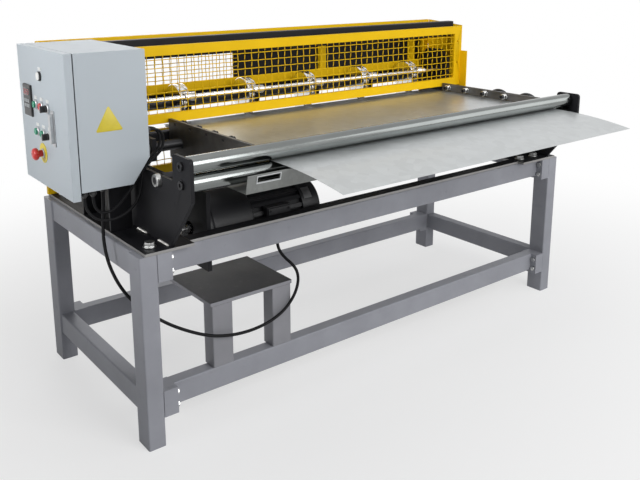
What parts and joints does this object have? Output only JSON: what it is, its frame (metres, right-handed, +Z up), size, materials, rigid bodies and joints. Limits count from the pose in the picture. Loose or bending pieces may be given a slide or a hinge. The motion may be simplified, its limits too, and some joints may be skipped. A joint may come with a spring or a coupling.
{
  "type": "duct beading machine",
  "caption": "Powered sheet-metal bead forming machine on a tube stand: feed rollers and bed in front, bead wheels behind a yellow net guard, cabinet at the left end.",
  "frame": {"origin": "middle of the footprint, on the floor", "axes": "+X along the machine towards the handwheels, +Y from the feed side to the rear guard, +Z up"},
  "size_m": [2.277, 1.2844, 1.27],
  "materials": {
    "grey_paint": "satin",
    "black_paint": "satin",
    "yellow_paint": "gloss",
    "cabinet_paint": "textured",
    "steel": "ground",
    "zinc": "galvanised",
    "chrome": "polished",
    "motor_paint": "satin",
    "green_plastic": "gloss",
    "red_plastic": "gloss",
    "yellow_plastic": "satin",
    "black_plastic": "satin",
    "lamp_plastic": "gloss",
    "cable_sheath": "matte"
  },
  "bodies": {
    "machine": {"legs": "grey_paint", "end_rails": "grey_paint", "long_rails": "grey_paint", "stand_bolts": "zinc", "front_shelf": "grey_paint", "base_plates": "black_paint", "roller_brackets": "black_paint", "shaft_bushes": "steel", "tie_bars": "steel", "bed_plate": "steel", "bed_ribs": "black_paint", "infeed_apron": "steel", "left_edge_studs": "zinc", "left_side_plate": "steel", "bead_cheeks": "black_paint", "bead_bearings": "black_paint", "drive_chain": "steel", "gear_cover": "black_paint", "gear_reducer": "motor_paint", "motor_body": "motor_paint", "fan_cover": "black_paint", "front_guard_frame": "yellow_paint", "guard_nets": "yellow_paint", "rear_guard_frame": "yellow_paint", "guard_end_plates": "yellow_paint", "guard_beam_and_panel": "black_paint", "cabinet_body": "cabinet_paint", "cabinet_bracket": "black_paint", "switchgear": "black_plastic", "motor_cable": "cable_sheath", "inner_loop_cable": "cable_sheath", "outer_loop_cable": "cable_sheath", "cable_glands": "black_plastic"},
    "sheet": {"sheet_blank": "zinc"},
    "upper_roller": {"upper_feed_roller": "chrome"},
    "lower_roller": {"lower_feed_roller": "chrome"},
    "lower_bead": {"lower_bead_shaft": "steel", "lower_bead_wheels": "steel"},
    "upper_bead": {"upper_bead_shaft": "steel", "upper_bead_wheels": "steel"},
    "drive": {"drive_shaft": "steel"},
    "hold_down": {"hold_down_rod": "zinc", "lead_in_fingers": "black_paint"},
    "side_guide": {"right_side_guide": "steel", "right_edge_studs": "zinc"},
    "front_wheel": {"front_handwheel": "black_paint"},
    "rear_wheel": {"rear_handwheel": "black_paint"},
    "door": {"cabinet_door": "cabinet_paint", "door_fittings": "black_plastic", "stop_disc": "yellow_plastic", "pilot_lamp": "lamp_plastic", "counter_display": "black_plastic"},
    "latch": {"latch_handle": "black_plastic"},
    "start": {"start_button": "green_plastic"},
    "stop": {"stop_button": "red_plastic"},
    "jog_forward": {"jog_forward_button": "green_plastic"},
    "jog_reverse": {"jog_reverse_button": "green_plastic"},
    "emergency": {"emergency_stop": "red_plastic"},
    "mode": {"mode_selector": "black_plastic"},
    "feed": {"feed_selector": "black_plastic"}
  },
  "joints": [
    {"name": "sheet_feed", "type": "slide", "parent": "machine", "child": "sheet", "axis": [0, -1, 0], "range_m": [0, 0.35]},
    {"name": "lower_roller_turn", "type": "hinge", "parent": "machine", "child": "lower_roller", "pos_m": [0.0885, -0.27582, 0.8837], "axis": [1, 0, 0], "range_deg": [0, 720]},
    {"name": "upper_roller_turn", "type": "hinge", "parent": "machine", "child": "upper_roller", "pos_m": [0.0885, -0.27582, 0.9413], "axis": [1, 0, 0], "range_deg": [-720, 0]},
    {"name": "lower_bead_turn", "type": "hinge", "parent": "machine", "child": "lower_bead", "pos_m": [0.0885, 0.53218, 0.84], "axis": [1, 0, 0], "continuous": true},
    {"name": "upper_bead_turn", "type": "hinge", "parent": "machine", "child": "upper_bead", "pos_m": [0.0885, 0.53218, 0.985], "axis": [1, 0, 0], "continuous": true},
    {"name": "drive_turn", "type": "hinge", "parent": "machine", "child": "drive", "pos_m": [-0.7565, 0.00218, 0.64], "axis": [1, 0, 0], "continuous": true},
    {"name": "hold_down_lift", "type": "hinge", "parent": "machine", "child": "hold_down", "pos_m": [0.0885, 0.43418, 1.016], "axis": [1, 0, 0], "range_deg": [0, 8]},
    {"name": "front_wheel_turn", "type": "hinge", "parent": "machine", "child": "front_wheel", "pos_m": [1.1065, -0.03282, 0.861], "axis": [1, 0, 0], "range_deg": [0, 2880]},
    {"name": "rear_wheel_turn", "type": "hinge", "parent": "machine", "child": "rear_wheel", "pos_m": [1.1065, 0.13218, 0.861], "axis": [1, 0, 0], "range_deg": [0, 2880]},
    {"name": "guide_shift", "type": "slide", "parent": "machine", "child": "side_guide", "axis": [1, 0, 0], "range_m": [0, 0.04]},
    {"name": "door_swing", "type": "hinge", "parent": "machine", "child": "door", "pos_m": [-1.075, 0.35318, 1.061], "axis": [0, 0, -1], "range_deg": [0, 110]},
    {"name": "latch_turn", "type": "hinge", "parent": "door", "child": "latch", "pos_m": [-1.1015, 0.04819, 1.07211], "axis": [-1, 0, 0], "range_deg": [0, 90]},
    {"name": "start_press", "type": "slide", "parent": "door", "child": "start", "axis": [1, 0, 0], "range_m": [0, 0.004], "stiffness_N_per_m": 300},
    {"name": "stop_press", "type": "slide", "parent": "door", "child": "stop", "axis": [1, 0, 0], "range_m": [0, 0.004], "stiffness_N_per_m": 300},
    {"name": "jog_forward_press", "type": "slide", "parent": "door", "child": "jog_forward", "axis": [1, 0, 0], "range_m": [0, 0.004], "stiffness_N_per_m": 300},
    {"name": "jog_reverse_press", "type": "slide", "parent": "door", "child": "jog_reverse", "axis": [1, 0, 0], "range_m": [0, 0.004], "stiffness_N_per_m": 300},
    {"name": "emergency_press", "type": "slide", "parent": "door", "child": "emergency", "axis": [1, 0, 0], "range_m": [0, 0.005], "stiffness_N_per_m": 500},
    {"name": "mode_turn", "type": "hinge", "parent": "door", "child": "mode", "pos_m": [-1.1015, 0.09114, 1.09011], "axis": [1, 0, 0], "range_deg": [-45, 45]},
    {"name": "feed_turn", "type": "hinge", "parent": "door", "child": "feed", "pos_m": [-1.1015, 0.09114, 1.00303], "axis": [1, 0, 0], "range_deg": [-45, 45]}
  ],
  "couplings": [
    {"joint": "lower_roller_turn", "follows": "sheet_feed", "rad_per_m": 35.714},
    {"joint": "upper_roller_turn", "follows": "sheet_feed", "rad_per_m": -35.714},
    {"joint": "upper_bead_turn", "follows": "lower_bead_turn", "ratio": -1},
    {"joint": "drive_turn", "follows": "lower_bead_turn", "ratio": 1.4118},
    {"joint": "guide_shift", "follows": "front_wheel_turn", "m_per_rad": 0.00079577},
    {"joint": "rear_wheel_turn", "follows": "front_wheel_turn", "ratio": 1}
  ]
}
